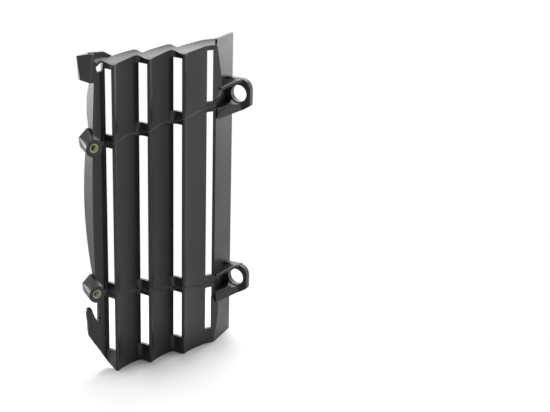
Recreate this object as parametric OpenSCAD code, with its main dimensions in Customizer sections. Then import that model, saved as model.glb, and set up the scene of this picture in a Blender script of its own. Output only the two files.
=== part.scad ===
// Motorcycle radiator guard: one moulded louvre panel with two metal inserts.
// X runs along the row of slats from the outer side to the inner side, Y runs back
// towards the radiator, and Z is up. The sub-parts are drawn from the foot of the first
// full slat; the nodes are moved so that the origin is the middle of the guard's underside.

/* [Panel] */
// Height of the front edge of the slats, at the first full slat
panel_h = 280; // [255:1:300]
// Thickness of the moulded walls
wall_t = 2.8; // [2.4:0.1:3]
// Slope of the top edge along the row, in degrees
top_rise = 1.2; // [0:0.1:2]

/* [Slats] */
// Number of full slats
slat_count = 3; // [2:1:4]
// Distance from one slat's front edge to the next
slat_pitch = 33.6; // [33:0.1:36]
// Length of a slat along the row, up to its slot
slat_run = 29.4; // [28:0.1:29.8]
// Slope of a slat where its rounded front edge ends
slat_slope = 0.5; // [0.45:0.01:0.55]
// How fast a slat's slope flattens towards its slot, per mm
slat_ease = 0.0052; // [0.004:0.0002:0.006]
// How far the rounded front edge stands proud of the slat's own line
nose_h = 1.4; // [0.8:0.1:1.6]
// Share of the full depth that the last slat has
last_slat_depth = 0.8; // [0.75:0.01:0.95]

/* [Slots] */
// Height of the lowest edge of the first slot
slot_bottom = 19.5; // [16:0.5:24]
// How much lower the other slots end at the bottom
slot_bottom_drop = 3; // [0:0.5:5]
// Height of the top edge of the slots below the top rim
slot_top_gap = 4.2; // [3.5:0.1:7]
// Radius of the valley where a slat turns to the next front edge
valley_r = 4.5; // [4:0.1:5]

/* [Top rim] */
// Distance from the slats' front edges to the rim's rear edge
rim_d = 14.6; // [14:0.1:16]
// Radius of the rim's hollow top
rim_r = 20; // [18:0.5:30]
// Thickness of the rim
rim_t = 2.4; // [2:0.1:3]
// How far the rim stands in front of the slats
rim_lip = 0.7; // [0.4:0.1:1]

/* [End plate] */
// Distance along the row from the last slat's pitch to the end plate
plate_gap = 2.4; // [2.2:0.1:3.2]
// Depth at which the end plate begins
plate_y = 8.1; // [7.5:0.1:8.5]
// Length of the end plate
plate_run = 34.6; // [33:0.1:38]
// Angle of the end plate to the row, in degrees
plate_angle = 33.6; // [32:0.1:35]
// Height of the end plate's outer corner above the slats' front edges
plate_rise = 7.2; // [6:0.1:12]
// Width of the land beside the last slot
land_w = 4.8; // [3:0.1:6]

/* [Outer side] */
// Place of the outer wall along the row at its two ends
side_x = -15.2; // [-16.5:0.1:-14.5]
// How far the outer wall bows outwards half way up
side_bow = 2.9; // [0:0.1:3.5]
// Right-hand end of the outer strip, beside the first slot
strip_end = -2.9; // [-3.2:0.1:-2.6]
// Depth of the outer strip's front face
strip_y = 9; // [8.5:0.1:9.5]
// Depth of the outer wall between the two bosses
side_d = 21.7; // [18:0.1:24]
// Depth of the outer wall above the upper boss
side_top_d = 18.6; // [16:0.1:21]
// Depth of the outer wall below the lower boss
side_foot_d = 11.6; // [11:0.1:14]

/* [Crossbars] */
// Height of the upper crossbar's crest at the first full slat
upper_bar_z = 212.3; // [205:0.5:216]
// Rise of the upper crossbar along the row, in degrees
upper_bar_rise = 9.4; // [8:0.1:10]
// Height of the lower crossbar's crest at the first full slat
lower_bar_z = 74.2; // [70:0.5:80]
// Rise of the lower crossbar along the row, in degrees
lower_bar_rise = -7.6; // [-9:0.1:-6]
// Depth of the crossbars' rear edge
bar_d = 17; // [16:0.1:19]
// How far the crossbars stand proud of the slats' valleys
bar_proud = 2.2; // [1.5:0.1:2.5]
// Height of the crossbars' front face at the valleys
bar_face = 4.6; // [3.5:0.1:5]

/* [Bosses] */
// Place of the bosses along the row
boss_x = -19.6; // [-20:0.1:-19]
// Height of the upper boss
upper_boss_z = 210.9; // [208:0.1:213]
// Height of the lower boss
lower_boss_z = 78.8; // [76:0.1:81]
// Radius of a boss
boss_r = 7.7; // [7:0.1:8]
// Depth of a boss
boss_d = 14; // [13:0.1:16]
// Height of the gusset above a boss, from the boss's centre
gusset_h = 14; // [11:0.5:15]

/* [Inserts] */
// Outside radius of an insert
insert_r = 4; // [3.8:0.05:4.2]
// Length of an insert
insert_l = 11; // [9:0.5:12]
// Radius of the threaded hole in an insert
thread_r = 3; // [2.5:0.05:3]
// Clearance round an insert in its boss
insert_gap = 0.05; // [0.02:0.01:0.1]
// How far an insert sits below the boss's face
insert_sink = 0.3; // [0.1:0.1:0.6]

/* [Eyelet brackets] */
// Distance along the row from the end plate's start to the eyelet hole's centre
eye_out = 24.3; // [23.8:0.1:24.8]
// Depth of the eyelet hole's centre
eye_y = 9.7; // [9.2:0.1:10]
// Height of the upper eyelet's centre
upper_eye_z = 236.3; // [234:0.1:239]
// Height of the lower eyelet's centre
lower_eye_z = 60.4; // [58:0.1:63]
// Radius of the eyelet hole
eye_r = 7.8; // [7.4:0.1:8]
// Room round the hole's line in the bracket's shelf and floor, for a grommet's flange
grommet_gap = 0.9; // [0.6:0.1:1]
// Angle of the hole's axis to the row, in degrees
eye_angle = 29; // [27:0.5:32]
// Height of the upper eyelet's top edge above its hole's centre
upper_eye_h = 13.6; // [13.4:0.1:14]
// Height of the lower eyelet's top edge above its hole's centre
lower_eye_h = 12.3; // [12.2:0.1:13]
// How far an eyelet reaches in front of its hole's centre
eye_reach = 11.5; // [11.2:0.1:12.5]
// Thickness of an eyelet
eye_t = 5.2; // [4.6:0.1:5.6]
// Depth of the brackets' front edge
bracket_y = 6; // [5.5:0.1:6.5]
// Slope of the brackets' top and bottom along the row
bracket_slope = 0.18; // [0.14:0.01:0.2]
// Height of a bracket's front skirt
skirt_h = 10; // [8:0.5:11]
// Radius between a bracket's floor and its skirt
skirt_r = 4.5; // [3.5:0.1:5]
// Height of the upper bracket's shelf above its hole's centre
upper_shelf = 13.3; // [12.9:0.1:13.4]
// How far the upper bracket's shelf leans back, in degrees
upper_shelf_tilt = 3; // [0:0.5:6]
// Height of the lower bracket's shelf above its hole's centre
lower_shelf = 12.8; // [12.6:0.1:13]
// How far the lower bracket's shelf leans back, in degrees
lower_shelf_tilt = 9; // [6:1:12]
// Slope of the shelves along the row
shelf_slope = 0.26; // [0.2:0.01:0.28]
// Radius along the front edge of the shelves
shelf_r = 2.4; // [1:0.1:2.6]

/* [Hook and horn] */
// How far the hook's foot lies below the slats' top edge
hook_drop = 15; // [12:0.5:18]
// Width of the hook's foot
hook_w = 11; // [9:0.5:12]
// Height of the horn's top edge
horn_z = 63; // [60:0.5:66]
// Place of the horn's outer edge along the row
horn_x = -26; // [-27.5:0.1:-25.5]
// Thickness of the horn
horn_t = 2.3; // [2:0.1:3]
// Depth of the horn's front face
horn_y = 6; // [5:0.1:7]

/* [Hidden] */

slat_step = 1.6;
plate_x = slat_pitch * slat_count + plate_gap;
plate_h = panel_h + plate_rise;
eye_x = plate_x + eye_out;
hook_z = panel_h - hook_drop;
upper_rise = tan(upper_bar_rise);
lower_rise = tan(lower_bar_rise);
top_slope = tan(top_rise);
plate_dir = [cos(plate_angle), sin(plate_angle)];
plate_start = [plate_x, plate_y];
plate_end = plate_start + plate_run * plate_dir;

// Middle of the guard in X and Y, between the hook, the eyelet, the rim and the plate
hook_side = side_x - 1.4;
left_end = hook_side - hook_w + 0.3;
right_end = eye_x + eye_reach * sin(eye_angle) + eye_t * cos(eye_angle);
back_end = plate_end[1] + wall_t * cos(plate_angle);
front_end = min(-rim_lip, eye_y - eye_reach * cos(eye_angle));
middle = [(left_end + right_end) / 2, (back_end + front_end) / 2, 0];

// Depth of a slat's front face at a distance x from its front edge: a short
// rounded nose, then a line that flattens towards the slot
function slat_y(x) = nose_h * (1 - exp(-x / 2)) + slat_slope * x - slat_ease * x * x;

function reverse(list) = [for (i = [len(list) - 1:-1:0]) list[i]];
function unit(v) = v / norm(v);
function left_of(v) = [-v[1], v[0]];

// Points of a path moved to its left by d, with mitred corners
function beside(path, d) = [
    for (i = [0:len(path) - 1])
        let (before = unit(path[max(i, 1)] - path[max(i, 1) - 1]),
             after = unit(path[min(i, len(path) - 2) + 1] - path[min(i, len(path) - 2)]),
             middle = unit(left_of(before) + left_of(after)))
        path[i] + d * middle / (middle * left_of(after))
];

// Outline of a wall of thickness t on the left of a path
function wall_outline(path, t) = concat(path, reverse(beside(path, t)));

// Round corner at b between the lines from a and to c
function round_corner(a, b, c, r, n = 5) =
    let (u = unit(a - b),
         v = unit(c - b),
         half = acos(u * v) / 2,
         centre = b + unit(u + v) * r / sin(half),
         start = b + u * r / tan(half) - centre,
         turn = 180 - 2 * half,
         side = u[0] * v[1] - u[1] * v[0] > 0 ? -1 : 1)
    [for (i = [0:n])
        let (w = side * turn * i / n)
        centre + [start[0] * cos(w) - start[1] * sin(w), start[0] * sin(w) + start[1] * cos(w)]];

nose_back = wall_t * left_of(unit([1, slat_slope + nose_h / 2]));
valley_x = 24;
valley_corner = [27.7, slat_y(valley_x) + 0.9];
return_foot = [slat_pitch, 0] + nose_back + [0.4, -0.75];

// Front path of one slat up to the place x, and of the closed wall after it
function slat_path(depth, last) = [for (x = [0:slat_step:last]) [x, depth * slat_y(x)]];
function return_path(lift) = concat(
    [[valley_x - 2.5, slat_y(valley_x - 2.5) + lift]],
    round_corner([valley_x - 2.5, slat_y(valley_x - 2.5)], valley_corner, return_foot, valley_r),
    [return_foot]);

function moved(path, v) = [for (p = path) p + v];
function last_slat(i) = i == slat_count - 1;

strip_path = [[-23, strip_y], [-8.8, strip_y], [-7, strip_y + 0.6], [-5, strip_y + 1.4],
    [strip_end, strip_y + 2.3]];
land_path = [[slat_pitch * (slat_count - 1) + 24, plate_y + 0.6], [plate_x - 6, plate_y + 0.7],
    plate_start, plate_start + 3 * plate_dir];

// Front of the whole closed panel, from the outer wall to the end plate
panel_path = concat(
    [[-23, strip_y], [-14, strip_y]],
    moved(return_path(0), [-slat_pitch, 0]),
    [for (i = [0:slat_count - 1]) each concat(
        moved(slat_path(last_slat(i) ? last_slat_depth : 1, valley_x - 3), [slat_pitch * i, 0]),
        last_slat(i) ? [] : moved(return_path(0), [slat_pitch * i, 0]))],
    [land_path[0], land_path[1], plate_start, plate_start + 10 * plate_dir]);

// Top face of the rim at a depth y, measured from its front edge
function rim_z(y) = y <= 0 ? 0 : rim_r - sqrt(rim_r * rim_r - y * y);

// Place of the outer wall at a height z
side_mid = (panel_h + 20) / 2;
side_half = 105;
function side_at(z) = z < lower_boss_z - 5 ? side_x + 0.7 :
    side_x - side_bow * (1 - pow((z - side_mid) / side_half, 2));
side_z0 = lower_boss_z - 4;
side_z1 = panel_h - 16;
side_steps = 14;
side_heights = [for (i = [0:side_steps]) side_z0 + (side_z1 - side_z0) * i / side_steps];

// Depth of the outer wall's rear edge at a height z, in lobes above and below the upper boss
side_top_z = (upper_boss_z + panel_h) / 2;
side_deep_z = (lower_boss_z + upper_boss_z) / 2 + 20;
function side_rear(z) =
    z > upper_boss_z ? side_top_d - 2 * pow((z - side_top_z) / 16, 2) :
    z > lower_boss_z ? side_d - 7.9 * pow((z - side_deep_z) / 68, 2) :
    side_foot_d;

// Prism over an outline in X and Z, from depth y0 to depth y1
module depth_prism(points, y0, y1) {
    translate([0, y1, 0]) rotate([90, 0, 0]) linear_extrude(height = y1 - y0) polygon(points);
}

// Prism over an outline in Y and Z, along the row from x0 to x1, rising by an angle
module row_prism(points, x0, x1, rise) {
    rotate([0, -rise, 0]) translate([x0, 0, 0]) rotate([90, 0, 90])
        linear_extrude(height = x1 - x0) polygon(points);
}

module plan_prism(points, z0, z1) {
    translate([0, 0, z0]) linear_extrude(height = z1 - z0) polygon(points);
}

module slats(z1) {
    for (i = [0:slat_count - 1])
        plan_prism(wall_outline(moved(slat_path(last_slat(i) ? last_slat_depth : 1,
            last_slat(i) ? slat_run - 2 : slat_run), [slat_pitch * i, 0]), wall_t), 0, z1);
}

// One closed wall between two slats, below and above its slot
module closed_ends(i, z1) {
    outline = wall_outline(moved(return_path(0), [slat_pitch * i, 0]), wall_t);
    plan_prism(outline, 0, i < 0 ? slot_bottom : slot_bottom - slot_bottom_drop);
    plan_prism(outline, panel_h - slot_top_gap + slat_pitch * (i + 1) * top_slope, z1);
}

module closures(z1) {
    for (i = [0:slat_count - 2]) closed_ends(i, z1);
    land = wall_outline(land_path, wall_t);
    plan_prism(land, 0, slot_bottom - slot_bottom_drop - 1.5);
    plan_prism(land, panel_h - slot_top_gap + slat_pitch * slat_count * top_slope + 1.3, z1);
}

// The end plate, with a sloping top edge and a corner cut down to the rim
module end_plate() {
    intersection() {
        plan_prism(wall_outline([plate_start, plate_end], wall_t), -1, plate_h + 10);
        depth_prism([[plate_x - 5, 0], [plate_x - 5, panel_h + 1], [plate_x, panel_h + 3],
            [plate_x + 2, plate_h + 1.2], [plate_end[0] + 4, plate_h], [plate_end[0] + 4, 0]], 0, 40);
    }
}

// Flat land in front of the plate's edge, above the upper and below the lower bracket
module lands() {
    steps = 6;
    top0 = upper_eye_z + 8;
    top1 = panel_h + 2.5;
    foot1 = lower_eye_z - 15;
    intersection() {
        plan_prism([[plate_x - 3.4, plate_y], [plate_x + 8, plate_y], [plate_x + 8, plate_y + 8],
            [plate_x - 1.2, plate_y + 3.6]], 0, panel_h + 10);
        union() {
            depth_prism(concat([[plate_x - 1.5, top0 - 11], [plate_x - 4, top0 - 11], [plate_x - 4, top1]],
                [for (i = [0:steps]) [plate_x + 0.8 + land_w * sin(90 * i / steps),
                    top1 + (top0 - top1) * i / steps]]), 0, 20);
            depth_prism(concat([[plate_x - 4, 0]],
                [for (i = [0:steps]) [plate_x - 0.8 + land_w * sin(120 * i / steps) * 1.1,
                    foot1 * i / steps]], [[plate_x - 4, foot1]]), 0, 20);
        }
    }
}

// The outer strip beside the first slot, with its slanting foot
module strip() {
    intersection() {
        union() {
            plan_prism(wall_outline(strip_path, wall_t), 0, panel_h + 12);
            closed_ends(-1, panel_h + 12);
        }
        depth_prism(concat([[1, 0], [-1.2, 0]],
            [[side_x + 0.7, -1.62 * (side_x + 1.9)], [side_x + 0.7, lower_boss_z - 5]],
            [for (z = side_heights) [side_at(z), z]],
            [[side_x, panel_h + 14], [1, panel_h + 14]]), -2, 20);
    }
}

// The outer wall, bowed outwards, with a rear edge in three lobes
module side_wall() {
    intersection() {
        rotate([0, 0, 6]) depth_prism(concat(
            [for (z = side_heights) [side_at(z) + 0.9, z]],
            reverse([for (z = side_heights) [side_at(z) + 0.9 + wall_t, z]])), strip_y + 1, 32);
        row_prism(concat([[0, side_z0], [0, side_z1]],
            reverse([for (z = side_heights) [side_rear(z), z]])), -40, 0, 0);
    }
}

// The rim: hollow on top, with a lip in front, and a rear edge that follows the slats
module top_rim() {
    depths = [for (y = [-3:1:rim_d + 2]) y];
    intersection() {
        plan_prism(concat(moved(panel_path, [0, -rim_lip]), [plate_start + 10 * plate_dir],
            reverse([for (p = panel_path) if (p[0] > -17 && p[0] < plate_x + 1)
                [p[0], rim_d - 3.2 + 0.3 * p[1]]])),
            panel_h - 20, panel_h + 20);
        translate([0, 0, panel_h]) row_prism(concat(
            [for (y = depths) [y, rim_z(y)]],
            reverse([for (y = depths) [y, rim_z(y) - rim_t]])), -30, 150, top_rise);
        plan_prism([[-17.5, -5], [plate_x + 2, -5], plate_start + 2 * left_of(plate_dir),
            plate_start + 12 * plate_dir + 2 * left_of(plate_dir), [plate_x, 30], [-17.5, 30]],
            panel_h - 20, panel_h + 20);
    }
}

// All that lies above the rim, to trim what meets it from below
module above_rim() {
    depths = [for (y = [-6:1:rim_d]) y];
    translate([0, 0, panel_h]) row_prism(concat([for (y = depths) [y, rim_z(y) - rim_t / 2]],
        [[rim_d + 20, rim_z(rim_d) - rim_t / 2], [rim_d + 20, 60], [-6, 60]]), -60, plate_x + 60, top_rise);
}

// A crossbar: walls that close the slots, a ridge on their front, and a rear rail
module crossbar(crest, slope, above) {
    for (i = [-1:slat_count - 2])
        plan_prism(wall_outline(moved(return_path(0), [slat_pitch * i, 0]), wall_t),
            crest + slope * slat_pitch * (i + 0.95) - bar_face,
            crest + slope * slat_pitch * (i + 0.95) + above);
    plan_prism(wall_outline(land_path, wall_t), crest + slope * (plate_x - 5) - bar_face,
        crest + slope * (plate_x - 5) + above - 2);
    ridge(crest, slope);
    intersection() {
        plan_prism(concat(moved(panel_path, [0, wall_t / 2]),
            [plate_start + 8 * plate_dir + 1.5 * left_of(plate_dir), [plate_x + 2, bar_d], [-16, bar_d]]),
            0, panel_h);
        depth_prism([[-16, crest - 16 * slope - 3.5], [plate_x + 20, crest + (plate_x + 20) * slope - 3.5],
            [plate_x + 20, crest + (plate_x + 20) * slope], [-16, crest - 16 * slope]], -1, bar_d);
    }
}

// Path that a crossbar's ridge follows, and how far it stands proud at each point
ridge_path = concat(
    [[-23, strip_y], [-14, strip_y]],
    moved(return_path(0), [-slat_pitch, 0]),
    [for (i = [0:slat_count - 1]) each concat(
        moved(slat_path(last_slat(i) ? last_slat_depth : 1, valley_x - 3), [slat_pitch * i, 0]),
        last_slat(i) ? [] : moved(return_path(0), [slat_pitch * i, 0]))],
    [land_path[0], plate_start - [0.8, 0]]);
function along(x) = x < 0 ? 1 : (x % slat_pitch) / slat_pitch;
function proud(x) = bar_proud * (x > plate_x - 4 ? 0.5 : x > 0 && along(x) > 0.93 ? 0.4 :
    x < 0 && x > -3 ? 0.4 : min(1, 0.15 + 1.35 * along(x)));

module ridge(crest, slope) {
    n = len(ridge_path);
    back = beside(ridge_path, 1.2);
    points = [for (i = [0:n - 1])
        let (p = ridge_path[i], z = crest + slope * p[0], w = proud(p[0]),
             front = p - w * unit(back[i] - p))
        each [[front[0], front[1], z], [back[i][0], back[i][1], z + w * 1.4 + 0.4],
            [back[i][0], back[i][1], z - w * 1.9 - 0.6]]];
    polyhedron(points = points, faces = concat([[0, 2, 1]],
        [for (i = [0:n - 2]) for (k = [0:2]) let (a = 3 * i + k, b = 3 * i + (k + 1) % 3)
            each [[a, b, a + 3], [b, b + 3, a + 3]]],
        [[3 * n - 3, 3 * n - 2, 3 * n - 1]]));
}

// A boss on the outer wall, with a ramp behind it that rises to the gusset's point
module boss(z) {
    translate([boss_x, 0, z]) hull() {
        rotate([-90, 0, 0]) cylinder(r = boss_r, h = 1, $fn = 32);
        translate([-0.4, boss_d - 1, 1.6]) rotate([-90, 0, 0])
            cylinder(r = boss_r - 1.3, h = 1, $fn = 32);
        translate([-7.3, boss_d - 1, gusset_h / 2 - 0.8]) cube([1, 1, 1]);
        translate([0, boss_d - 1, gusset_h - 1]) cube([3, 1, 1]);
    }
}

module boss_pocket(z) {
    translate([boss_x, -1, z]) rotate([-90, 0, 0])
        cylinder(r = insert_r + insert_gap, h = insert_l + insert_sink + 1, $fn = 48);
}

// Rounds over an edge that runs along the row at depth y and height 0, from x0 to x1
module round_over(y, r, x0, x1, rise) {
    row_prism(concat([[y - 2, -r], [y - 2, 3], [y + r, 3]],
        [for (w = [90:15:180]) [y + r + r * cos(w), r * sin(w) - r]]), x0, x1, rise);
}

// The top wall of a bracket, with its outer end at height 0: it slopes down towards the
// end plate, where it has a round end, and has a rounded front edge
module shelf(x0) {
    inner = eye_x - 3.5;
    function at(x) = shelf_slope * (x - inner);
    end_r = 1.5;
    difference() {
        depth_prism(concat([for (w = [90:30:270])
            [x0 + end_r + end_r * cos(w), at(x0 + end_r) - end_r + end_r * sin(w)]],
            [[inner, -3], [inner + 20, -3], [inner + 20, 0], [inner, 0]]), -20, 30);
        translate([inner, 0, 0]) {
            round_over(bracket_y - eye_y, shelf_r, -30, 0.3, atan(shelf_slope));
            round_over(bracket_y - eye_y, shelf_r, 0, 20, 0);
        }
    }
}

// An eyelet bracket: a shelf, a floor that rounds over into a front skirt, and the pierced lug
module bracket(z, top, shelf_x, shelf_z, shelf_tilt) {
    left = plate_x + 1;
    right = eye_x + 5;
    floor_top = -9.3;
    lug_dir = [-sin(eye_angle), cos(eye_angle)];
    axis = [cos(eye_angle), sin(eye_angle)];
    eye = [eye_x, eye_y];
    corner = eye + (bracket_y - eye_y) / lug_dir[1] * lug_dir;
    in_plate = plate_start + 1.5 * left_of(plate_dir);
    function band(z0, slope, t) = [[left, z0 - t], [right, z0 - t + slope * (right - left)],
        [right, z0 + slope * (right - left)], [left, z0]];
    translate([0, 0, z]) {
        difference() {
            union() {
                intersection() {
                    plan_prism([[left, bracket_y], corner + 1.5 * axis,
                        eye + 1.5 * axis + 14 * lug_dir, in_plate], -30, 30);
                    union() {
                        depth_prism(band(floor_top, bracket_slope, 4.4), 0, 40);
                        depth_prism(band(floor_top, bracket_slope, skirt_h), 0, bracket_y + wall_t);
                    }
                }
                intersection() {
                    plan_prism([[left, bracket_y], corner, corner + eye_t * axis,
                        eye + eye_t * axis + 14 * lug_dir, in_plate], -30, 30);
                    translate([0, eye_y, shelf_z]) rotate([-shelf_tilt, 0, 0]) shelf(shelf_x);
                }
            }
            translate([eye_x, eye_y, 0]) rotate([0, 0, eye_angle]) rotate([0, 90, 0])
                translate([0, 0, -20]) cylinder(r = eye_r + grommet_gap, h = 40, $fn = 64);
            translate([left, 0, floor_top])
                round_over(bracket_y, skirt_r, -5, eye_out + 3, atan(bracket_slope));
        }
        intersection() {
            lug(eye_t, top);
            depth_prism([[left, floor_top - skirt_h], [right + 8, floor_top - skirt_h +
                bracket_slope * (right + 8 - left)], [right + 8, 20], [left, 20]], -10, 40);
        }
    }
}

// The lug's plate in the plane across the hole's axis, with rounded front corners
module lug(t, top) {
    front = -eye_reach;
    foot = -15.2;
    translate([eye_x, eye_y, 0]) rotate([0, 0, eye_angle]) row_prism(concat(
        [[14, foot - 6.4], [6, foot - 6.4], [-3.2, foot]],
        round_corner([-3.2, foot], [front, foot + 5.2], [front, 0], 3),
        round_corner([front, 0], [front, top], [0, top], 9.5, 7), [[14, top]]), 0, t, 0);
}

module eye_hole(z) {
    translate([eye_x, eye_y, z]) rotate([0, 0, eye_angle]) rotate([0, 90, 0])
        translate([0, 0, -2]) cylinder(r = eye_r, h = eye_t + 4, $fn = 64);
}

// The hook at the top outer corner, a wedge that leans over the wall
module hook() {
    side = hook_side;
    polyhedron(
        points = [[side - hook_w + 0.3, 8, hook_z + 3.6], [side - 1.6, 8, hook_z - 0.4], [side, 20, hook_z],
            [side - 7.5, 18, hook_z + 1.5], [side, 8, hook_z + 24.4],
            [side + 3, 8.5, hook_z + 24], [side + 3, 18, hook_z + 23.5],
            [side - hook_w + 0.8, 15, hook_z + 22.4],
            [side + 3, 8, hook_z], [side + 3, 20, hook_z]],
        faces = [[0, 4, 1], [1, 4, 5], [1, 5, 8], [8, 5, 6], [8, 6, 9], [2, 9, 6], [2, 6, 7], [2, 7, 3],
            [0, 3, 7], [0, 7, 4], [4, 7, 6], [4, 6, 5], [0, 1, 2], [0, 2, 3], [1, 8, 9], [1, 9, 2]]);
}

// Raised rear lip that joins the hook to the rim
module corner_lip() {
    depth_prism([[side_x - 2, hook_z + 10], [side_x - 2, panel_h + 9.5], [-3, panel_h + 8.8],
        [4, panel_h + 4.8], [4, panel_h + 2.5], [-8, panel_h], [side_x + 2, hook_z + 10]],
        rim_d - 2.4, rim_d);
}

// Small window below the rim, beside the hook
module rim_window() {
    depth_prism([[-12.2, panel_h - 2.6], [-7.6, panel_h + 0.6], [-5.9, panel_h + 0.6],
        [-5.9, panel_h - 6.8], [-11.2, panel_h - 6.8]], -5, 40);
}

// The horn at the bottom outer corner, with its top curled back
module horn() {
    curl = horn_z - 17;
    front = concat([[horn_y, 0]], [for (w = [0:8:40]) [horn_y + 26 * (1 - cos(w)), curl + 26 * sin(w)]]);
    intersection() {
        row_prism(wall_outline(reverse(front), horn_t), -40, 0, 0);
        depth_prism([[side_x + 2.4, 19], [-20.1, 29.2], [-25.4, 38.5], [horn_x, 44],
            [horn_x, horn_z - 8], [horn_x + 0.6, horn_z - 3.5], [horn_x + 2, horn_z - 0.6],
            [horn_x + 4.4, horn_z], [horn_x + 6, horn_z - 2], [side_x - 3.8, horn_z - 8], [side_x - 0.6, 48],
            [side_x + 2.4, 42]], 0, 20);
    }
    depth_prism([[side_x - 0.5, 25], [side_x + 2.4, 20], [side_x + 2.4, 52], [side_x - 0.5, 52]],
        horn_y + 0.4, strip_y + 1);
}

module guard() {
    color([0.12, 0.12, 0.13]) translate(-middle) difference() {
        union() {
            difference() {
                union() {
                    slats(panel_h + 12);
                    closures(panel_h + 12);
                    strip();
                }
                above_rim();
            }
            end_plate();
            lands();
            top_rim();
            side_wall();
            crossbar(upper_bar_z, upper_rise, 6.8);
            crossbar(lower_bar_z, lower_rise, 9.4);
            boss(upper_boss_z);
            boss(lower_boss_z);
            bracket(upper_eye_z, upper_eye_h, plate_x + 3.6, upper_shelf, upper_shelf_tilt);
            bracket(lower_eye_z, lower_eye_h, plate_x + 0.8, lower_shelf, lower_shelf_tilt);
            hook();
            corner_lip();
            horn();
        }
        boss_pocket(upper_boss_z);
        boss_pocket(lower_boss_z);
        eye_hole(upper_eye_z);
        eye_hole(lower_eye_z);
        rim_window();
    }
}

module insert(z) {
    color([0.72, 0.66, 0.5]) translate([boss_x, insert_sink, z] - middle) rotate([-90, 0, 0]) difference() {
        cylinder(r = insert_r, h = insert_l, $fn = 48);
        translate([0, 0, -1]) cylinder(r = thread_r, h = insert_l + 2, $fn = 48);
    }
}

module upper_insert() {
    insert(upper_boss_z);
}

module lower_insert() {
    insert(lower_boss_z);
}

guard();
upper_insert();
lower_insert();
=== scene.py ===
"""Looks of a motorcycle radiator guard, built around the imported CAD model, in metres."""

import math

import bmesh
import bpy
import numpy as np
from mathutils import Matrix, Vector


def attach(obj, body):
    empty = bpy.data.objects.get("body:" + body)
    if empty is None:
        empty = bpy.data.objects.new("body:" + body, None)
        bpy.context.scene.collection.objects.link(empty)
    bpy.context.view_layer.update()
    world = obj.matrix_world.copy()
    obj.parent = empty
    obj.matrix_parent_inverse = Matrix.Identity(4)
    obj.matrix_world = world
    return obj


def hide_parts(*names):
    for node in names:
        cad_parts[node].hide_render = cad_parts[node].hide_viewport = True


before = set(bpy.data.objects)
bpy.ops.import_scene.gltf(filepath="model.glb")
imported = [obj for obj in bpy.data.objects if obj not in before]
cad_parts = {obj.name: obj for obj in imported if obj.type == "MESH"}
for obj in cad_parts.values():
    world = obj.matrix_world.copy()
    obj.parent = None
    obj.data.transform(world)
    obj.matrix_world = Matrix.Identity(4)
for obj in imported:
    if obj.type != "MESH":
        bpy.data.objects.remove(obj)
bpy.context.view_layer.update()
scene = bpy.context.scene


# The moulding: louvred slats, rim, end plate, brackets and bosses in one injection-moulded piece
# of black polypropylene. The eroded mould leaves a satin skin with a fine grain.


def srgb(code):
    """Linear colour of an sRGB hex code."""
    parts = [int(code[i : i + 2], 16) / 255 for i in (0, 2, 4)]
    return tuple(c / 12.92 if c <= 0.04045 else ((c + 0.055) / 1.055) ** 2.4 for c in parts) + (1.0,)


def add(tree, kind, links=None, **values):
    """A shader node: links give an input its source socket, values set its inputs or settings."""
    made = tree.nodes.new("ShaderNode" + kind)
    for name, value in values.items():
        if name.replace("_", " ") in made.inputs:
            made.inputs[name.replace("_", " ")].default_value = value
        else:
            setattr(made, name, value)
    for name, source in (links or {}).items():
        tree.links.new(source, made.inputs[name])
    return made


def new_material(name):
    """An empty material, its node tree and its output node."""
    material = bpy.data.materials.new(name)
    material.use_nodes = True
    material.node_tree.nodes.clear()
    return material, material.node_tree, add(material.node_tree, "OutputMaterial")


def place_in_scene(name, data):
    """An object at the origin, unturned and unscaled."""
    made = bpy.data.objects.new(name, data)
    scene.collection.objects.link(made)
    return made


# The grain is drawn about 0.4 mm from grain to grain, coarser than the real 0.1 mm so that it
# shows. Its gloss wanders a little over 40 mm, as the plastic cooled.
plastic, tree, out = new_material("moulded_polypropylene")
place = add(tree, "TexCoord").outputs["Object"]
grain = add(tree, "TexNoise", {"Vector": place}, Scale=2600.0, Detail=2.0, Roughness=0.6)
flow = add(tree, "TexNoise", {"Vector": place}, Scale=26.0, Detail=3.0, Roughness=0.55)
bump = add(tree, "Bump", {"Height": grain.outputs["Fac"]}, Strength=0.18, Distance=0.00004)
rough = add(tree, "MapRange", {"Value": flow.outputs["Fac"]},
            From_Min=0.3, From_Max=0.7, To_Min=0.36, To_Max=0.44)
skin = add(tree, "BsdfPrincipled", {"Normal": bump.outputs["Normal"], "Roughness": rough.outputs["Result"]},
           Base_Color=srgb("141416"), IOR=1.49)
tree.links.new(skin.outputs["BSDF"], out.inputs["Surface"])

# A merged copy of the CAD mesh, smooth over its curves and crisp at its corners and along the
# ridges of the crossbars.
guard = place_in_scene("moulding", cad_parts["guard"].data.copy())
shape = bmesh.new()
shape.from_mesh(guard.data)
bmesh.ops.remove_doubles(shape, verts=shape.verts, dist=1e-6)
bmesh.ops.dissolve_limit(shape, angle_limit=math.radians(0.5), verts=shape.verts, edges=shape.edges)
shape.to_mesh(guard.data)
shape.free()
crease = math.radians(13)
guard.data.shade_smooth()
guard.data.set_sharp_from_angle(angle=crease)
even = guard.modifiers.new("even_normals", "WEIGHTED_NORMAL")
even.keep_sharp = True
even.weight = 100
guard.data.materials.clear()
guard.data.materials.append(plastic)
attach(guard, "root")
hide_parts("guard")


# The two inserts: turned brass bushes, dulled by handling, pressed into the bosses. They keep
# their CAD shape and get their coarse 6 mm thread, cut from just below the mouth.
brass, tree, out = new_material("turned_brass")
metal = add(tree, "BsdfPrincipled", Base_Color=srgb("94937c"), Metallic=1.0, Roughness=0.42)
tree.links.new(metal.outputs["BSDF"], out.inputs["Surface"])

thread_bore = 0.003
thread_crest = 0.00246
thread_pitch = 0.001
thread_mouth = 0.0004
seated = 0.00002  # how far the thread's outer wall lies inside the bush's own wall
steps_round, steps_per_turn = 48, 8


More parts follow.
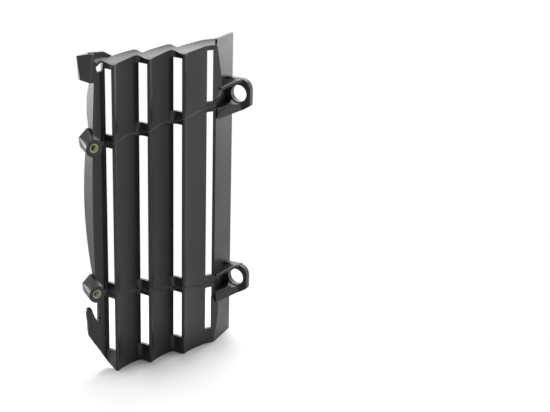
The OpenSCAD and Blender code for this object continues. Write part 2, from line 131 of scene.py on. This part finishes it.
def screw_thread(name, bush):
    """A screw thread inside a bush, a closed ring of metal round the bush's own axis, along Y.

    Inner radius r(a, y) = crest + (bore - crest) * |2 * frac(y / pitch - a / 2 pi) - 1|, with a the
    angle round the axis; the outer radius lies a hair inside the bush's wall.
    """
    spots = np.array([corner.co for corner in bush.data.vertices])
    low, high = spots.min(axis=0), spots.max(axis=0)
    axis_x, axis_z = (low[0] + high[0]) / 2, (low[2] + high[2]) / 2
    around = np.linspace(0, 2 * math.pi, steps_round, endpoint=False)
    along = np.arange(low[1] + thread_mouth, high[1] - thread_mouth, thread_pitch / steps_per_turn)
    a, y = np.meshgrid(around, along)
    wave = np.abs(2 * ((y / thread_pitch - a / (2 * math.pi)) % 1) - 1)
    wall = np.full((1, steps_round), thread_bore + seated)
    r = np.vstack([wall, thread_crest + (thread_bore - thread_crest) * wave, wall])
    y = np.vstack([y[:1], y, y[-1:]])
    a = np.vstack([a[:1], a, a[-1:]])
    points = np.stack([axis_x + r * np.cos(a), y, axis_z + r * np.sin(a)], axis=-1).reshape(-1, 3)
    number = np.arange(r.size).reshape(r.shape)
    beyond = np.roll(number, -1, axis=0)
    faces = np.stack([number, np.roll(number, -1, axis=1), np.roll(beyond, -1, axis=1), beyond], axis=-1)
    ring = place_in_scene(name, bpy.data.meshes.new(name))
    ring.data.from_pydata(points.tolist(), [], faces.reshape(-1, 4).tolist())
    shape = bmesh.new()
    shape.from_mesh(ring.data)
    bmesh.ops.recalc_face_normals(shape, faces=shape.faces)
    shape.to_mesh(ring.data)
    shape.free()
    ring.data.materials.append(brass)
    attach(ring, "root")


for name in ("upper_insert", "lower_insert"):
    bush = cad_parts[name]
    bush.data.materials.clear()
    bush.data.materials.append(brass)
    screw_thread(name.replace("insert", "screw_thread"), bush)


# The floor: pale matt paper. Away from the guard it is seen as plain white, and nearer it keeps
# the guard's shadow.


def looked_at(tree):
    """1 for rays from the camera and for those mirrored or bent on their way from it, else 0."""
    ray = add(tree, "LightPath")
    bent = add(tree, "Math", {0: ray.outputs["Is Glossy Ray"], 1: ray.outputs["Is Transmission Ray"]},
               operation="MAXIMUM")
    return add(tree, "Math", {0: ray.outputs["Is Camera Ray"], 1: bent.outputs["Value"]},
               operation="MAXIMUM").outputs["Value"]


half = 6.0
floor_mesh = bpy.data.meshes.new("floor")
corners = [(-half, -half, 0), (half, -half, 0), (half, half, 0), (-half, half, 0)]
floor_mesh.from_pydata(corners, [], [(0, 1, 2, 3)])
floor = place_in_scene("floor", floor_mesh)
paper, tree, out = new_material("paper")
spot = add(tree, "VectorMath", {0: add(tree, "TexCoord").outputs["Object"]}, operation="LENGTH")
away = add(tree, "MapRange", {"Value": spot.outputs["Value"]},
           interpolation_type="SMOOTHSTEP", From_Min=0.03, From_Max=0.22)
seen = add(tree, "Math", {0: away.outputs["Result"], 1: looked_at(tree)}, operation="MULTIPLY")
sheet = add(tree, "BsdfDiffuse", Color=srgb("f6f6f6"))
white = add(tree, "Emission", Color=(1, 1, 1, 1), Strength=1.0)
blend = add(tree, "MixShader", {"Fac": seen.outputs["Value"],
                                1: sheet.outputs["BSDF"], 2: white.outputs["Emission"]})
tree.links.new(blend.outputs["Shader"], out.inputs["Surface"])
floor_mesh.materials.append(paper)


# The studio: softboxes above and behind, and low ones at both sides that light the outer wall
# and the end plate along the floor. A narrow one in front lifts the slats beside their slots.


def lamp(name, azimuth, distance, height, aim, size, radiance):
    """A rectangular softbox: degrees from +X towards +Y, metres, and its brightness, where 1 is white."""
    light = bpy.data.lights.new(name, "AREA")
    light.shape = "RECTANGLE"
    light.size, light.size_y = size
    light.energy = math.pi * size[0] * size[1] * radiance
    holder = place_in_scene(name, light)
    angle = math.radians(azimuth)
    holder.location = (distance * math.cos(angle), distance * math.sin(angle), height)
    holder.rotation_euler = (Vector((0, 0, aim)) - holder.location).to_track_quat("-Z", "Y").to_euler()


lamp("high_softbox", 30, 0.56, 1.21, 0.15, (0.9, 0.9), 6.0)
lamp("overhead_softbox", 70, 0.04, 1.25, 0.15, (0.9, 0.9), 2.0)
lamp("rear_softbox", 56, 1.19, 0.68, 0.15, (1.8, 1.0), 2.0)
lamp("left_floor_softbox", 130, 1.2, 0.2, 0.2, (2.2, 0.38), 13.0)
lamp("right_floor_softbox", 22, 0.8, 0.2, 0.2, (0.4, 0.36), 4.5)
lamp("front_strip", 314, 0.7, 0.15, 0.15, (0.12, 0.28), 4.0)

# White surroundings to look at, and a dim plain grey as the light they give.
world = bpy.data.worlds.new("studio")
scene.world = world
world.use_nodes = True
tree = world.node_tree
tree.nodes.clear()
white = add(tree, "Background", Color=(1, 1, 1, 1), Strength=1.0)
room = add(tree, "Background", Color=(1, 1, 1, 1), Strength=0.1)
pick = add(tree, "MixShader", {"Fac": looked_at(tree),
                               1: room.outputs["Background"], 2: white.outputs["Background"]})
tree.links.new(pick.outputs["Shader"], add(tree, "OutputWorld").inputs["Surface"])


# The camera that took the photograph, from a fit of its lens to the guard's own edges: turned
# from +Y towards +X, tilted down and rolled, in degrees, with its place in metres.
turn, down, roll = (math.radians(degrees) for degrees in (34.053, 20.166, 1.523))
standpoint = Matrix.Translation((-0.5661, -1.0116, 0.5689))
ahead = Vector((math.cos(down) * math.sin(turn), math.cos(down) * math.cos(turn), -math.sin(down)))
side = ahead.cross(Vector((0, 0, 1))).normalized()
up = side.cross(ahead)
right = side * math.cos(roll) + up * math.sin(roll)
top = up * math.cos(roll) - side * math.sin(roll)
camera = place_in_scene("camera", bpy.data.cameras.new("camera"))
camera.data.lens = 91.205
camera.data.sensor_width = 36
camera.matrix_world = standpoint @ Matrix((right, top, -ahead)).transposed().to_4x4()
scene.camera = camera
scene.view_settings.view_transform = "Standard"
